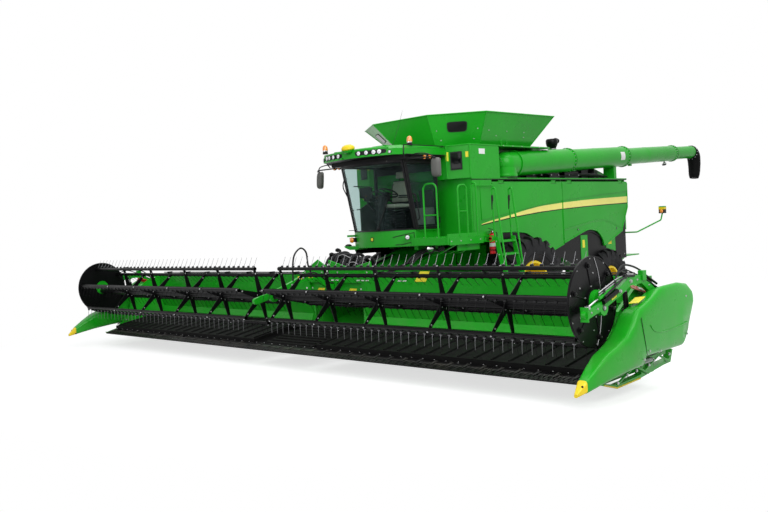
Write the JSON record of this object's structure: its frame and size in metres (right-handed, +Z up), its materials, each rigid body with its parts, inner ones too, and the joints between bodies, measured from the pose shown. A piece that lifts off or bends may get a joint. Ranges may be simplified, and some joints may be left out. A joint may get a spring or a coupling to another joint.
{
  "type": "combine harvester with draper header",
  "caption": "Full-size self-propelled combine harvester with a wide draper header, lifting reel, swinging unloading tube and opening side panels.",
  "frame": {"origin": "middle of the whole machine on the ground", "axes": "+X driving direction, +Y operator's left, +Z up"},
  "size_m": [15.14, 13.63, 4.6],
  "materials": {
    "green_paint": "gloss",
    "black_paint": "satin",
    "yellow_paint": "gloss",
    "tyre": "matte",
    "glass": "clear",
    "belt_rubber": "matte",
    "seat_fabric": "woven",
    "black_plastic": "textured",
    "bare_steel": "machined",
    "red_paint": "gloss",
    "cast": "painted"
  },
  "bodies": {
    "chassis": {"chassis_frame": "green_paint", "front_axle": "green_paint", "rear_axle": "green_paint", "threshing_housing": "green_paint", "grain_tank": "green_paint", "tank_extensions": "green_paint", "engine_hood": "green_paint", "exhaust_stack": "black_paint", "straw_chopper": "green_paint", "auger_foot": "green_paint", "engine_block": "cast", "cab_shell": "green_paint", "cab_glass": "glass", "cab_roof": "green_paint", "operator_seat": "seat_fabric", "cab_console": "black_plastic", "access_platform": "green_paint", "handrails": "green_paint", "fire_extinguisher": "red_paint", "mirrors": "black_plastic"},
    "header": {"feeder_house": "green_paint", "header_frame": "green_paint", "end_sheets": "green_paint", "deck_arms": "green_paint", "draper_belts": "belt_rubber", "cutterbar": "bare_steel", "crop_dividers": "green_paint", "divider_noses": "yellow_paint", "skid_shoes": "green_paint"},
    "lift_barrels": {"lift_barrels": "black_paint"},
    "lift_rods": {"lift_rods": "bare_steel"},
    "reel_arms": {"reel_arms": "green_paint"},
    "reel_barrels": {"reel_barrels": "black_paint"},
    "reel_rods": {"reel_rods": "bare_steel"},
    "reel_left": {"reel_left": "black_paint"},
    "reel_right": {"reel_right": "black_paint"},
    "unloading_auger": {"unloading_auger": "green_paint", "auger_spout": "black_plastic"},
    "cab_door": {"cab_door": "black_paint", "cab_door_glass": "glass"},
    "boarding_ladder": {"boarding_ladder": "green_paint"},
    "rotary_screen": {"rotary_screen": "black_paint"},
    "steering_rod": {"steering_rod": "bare_steel"},
    "front_wheel_left": {"front_rim_left": "yellow_paint", "front_tyre_left": "tyre"},
    "rear_wheel_left": {"rear_rim_left": "yellow_paint", "rear_tyre_left": "tyre"},
    "steering_knuckle_left": {"steering_knuckle_left": "green_paint"},
    "side_door_front_left": {"side_door_front_left": "green_paint"},
    "side_door_rear_left": {"side_door_rear_left": "green_paint"},
    "reel_disc_left": {"reel_disc_left": "black_paint"},
    "front_wheel_right": {"front_rim_right": "yellow_paint", "front_tyre_right": "tyre"},
    "rear_wheel_right": {"rear_rim_right": "yellow_paint", "rear_tyre_right": "tyre"},
    "steering_knuckle_right": {"steering_knuckle_right": "green_paint"},
    "side_door_front_right": {"side_door_front_right": "green_paint"},
    "side_door_rear_right": {"side_door_rear_right": "green_paint"},
    "reel_disc_right": {"reel_disc_right": "black_paint"}
  },
  "joints": [
    {"name": "header_lift", "type": "hinge", "parent": "chassis", "child": "header", "pos_m": [2.34, 0, 1.6], "axis": [0, -1, 0], "range_deg": [-1.5, 13]},
    {"name": "lift_cylinder_tilt", "type": "hinge", "parent": "chassis", "child": "lift_barrels", "pos_m": [1.75, 0, 0.96], "axis": [0, -1, 0], "range_deg": [-1.17, 10.12]},
    {"name": "lift_cylinder_stroke", "type": "slide", "parent": "lift_barrels", "child": "lift_rods", "axis": [0.989, 0, -0.1479], "range_m": [-0.0178, 0.1547]},
    {"name": "reel_lift", "type": "hinge", "parent": "header", "child": "reel_arms", "pos_m": [5.29, 0, 1.3], "axis": [0, -1, 0], "range_deg": [0, 20]},
    {"name": "reel_cylinder_tilt", "type": "hinge", "parent": "header", "child": "reel_barrels", "pos_m": [5.97, 0, 0.88], "axis": [0, -1, 0], "range_deg": [0, 9.59]},
    {"name": "reel_cylinder_stroke", "type": "slide", "parent": "reel_barrels", "child": "reel_rods", "axis": [0.128, 0, 0.9918], "range_m": [0, 0.2454]},
    {"name": "reel_left_turn", "type": "hinge", "parent": "reel_arms", "child": "reel_left", "pos_m": [6.78, 3.3, 1.26], "axis": [0, 1, 0], "continuous": true},
    {"name": "reel_right_turn", "type": "hinge", "parent": "reel_arms", "child": "reel_right", "pos_m": [6.78, -3.3, 1.26], "axis": [0, 1, 0], "continuous": true},
    {"name": "reel_disc_left_turn", "type": "hinge", "parent": "reel_arms", "child": "reel_disc_left", "pos_m": [6.78, 6.42, 1.335], "axis": [0, 1, 0], "continuous": true},
    {"name": "front_wheel_left_turn", "type": "hinge", "parent": "chassis", "child": "front_wheel_left", "pos_m": [1.49, 1.69, 1.02], "axis": [0, 1, 0], "continuous": true},
    {"name": "steering_left", "type": "hinge", "parent": "chassis", "child": "steering_knuckle_left", "pos_m": [-2.195, 1.01, 0.785], "axis": [0, 0, 1], "range_deg": [-40, 40]},
    {"name": "rear_wheel_left_turn", "type": "hinge", "parent": "steering_knuckle_left", "child": "rear_wheel_left", "pos_m": [-2.195, 1.46, 0.785], "axis": [0, 1, 0], "continuous": true},
    {"name": "reel_disc_right_turn", "type": "hinge", "parent": "reel_arms", "child": "reel_disc_right", "pos_m": [6.78, -6.42, 1.335], "axis": [0, 1, 0], "continuous": true},
    {"name": "front_wheel_right_turn", "type": "hinge", "parent": "chassis", "child": "front_wheel_right", "pos_m": [1.49, -1.69, 1.02], "axis": [0, 1, 0], "continuous": true},
    {"name": "steering_right", "type": "hinge", "parent": "chassis", "child": "steering_knuckle_right", "pos_m": [-2.195, -1.01, 0.785], "axis": [0, 0, 1], "range_deg": [-40, 40]},
    {"name": "rear_wheel_right_turn", "type": "hinge", "parent": "steering_knuckle_right", "child": "rear_wheel_right", "pos_m": [-2.195, -1.46, 0.785], "axis": [0, 1, 0], "continuous": true},
    {"name": "steering_rod_stroke", "type": "slide", "parent": "chassis", "child": "steering_rod", "axis": [0, 1, 0], "range_m": [-0.1606, 0.1606]},
    {"name": "auger_swing", "type": "hinge", "parent": "chassis", "child": "unloading_auger", "pos_m": [1.57, 1.42, 3.575], "axis": [0, 0, -1], "range_deg": [0, 95]},
    {"name": "cab_door_swing", "type": "hinge", "parent": "chassis", "child": "cab_door", "pos_m": [3.142, 0.89, 3], "axis": [0, 0, 1], "range_deg": [0, 70]},
    {"name": "side_door_front_left_lift", "type": "hinge", "parent": "chassis", "child": "side_door_front_left", "pos_m": [0.99, 1.58, 3.215], "axis": [1, 0, 0], "range_deg": [0, 78]},
    {"name": "side_door_rear_left_lift", "type": "hinge", "parent": "chassis", "child": "side_door_rear_left", "pos_m": [-1.81, 1.58, 3.215], "axis": [1, 0, 0], "range_deg": [0, 78]},
    {"name": "side_door_front_right_lift", "type": "hinge", "parent": "chassis", "child": "side_door_front_right", "pos_m": [0.99, -1.58, 3.215], "axis": [-1, 0, 0], "range_deg": [0, 78]},
    {"name": "side_door_rear_right_lift", "type": "hinge", "parent": "chassis", "child": "side_door_rear_right", "pos_m": [-1.81, -1.58, 3.215], "axis": [-1, 0, 0], "range_deg": [0, 78]},
    {"name": "ladder_swing", "type": "hinge", "parent": "chassis", "child": "boarding_ladder", "pos_m": [2.94, 2.05, 2.06], "axis": [0, 0, -1], "range_deg": [0, 90]},
    {"name": "air_screen_turn", "type": "hinge", "parent": "chassis", "child": "rotary_screen", "pos_m": [-1.16, -1.55, 3.545], "axis": [0, 1, 0], "continuous": true}
  ],
  "couplings": [
    {"joint": "lift_cylinder_tilt", "follows": "header_lift", "ratio": 0.7781},
    {"joint": "lift_cylinder_stroke", "follows": "header_lift", "m_per_rad": 0.6816},
    {"joint": "reel_cylinder_tilt", "follows": "reel_lift", "ratio": 0.4797},
    {"joint": "reel_cylinder_stroke", "follows": "reel_lift", "m_per_rad": 0.7029},
    {"joint": "reel_right_turn", "follows": "reel_left_turn", "ratio": 1},
    {"joint": "reel_disc_left_turn", "follows": "reel_left_turn", "ratio": 1},
    {"joint": "reel_disc_right_turn", "follows": "reel_left_turn", "ratio": 1},
    {"joint": "steering_right", "follows": "steering_left", "ratio": 1},
    {"joint": "steering_rod_stroke", "follows": "steering_left", "m_per_rad": 0.23}
  ]
}
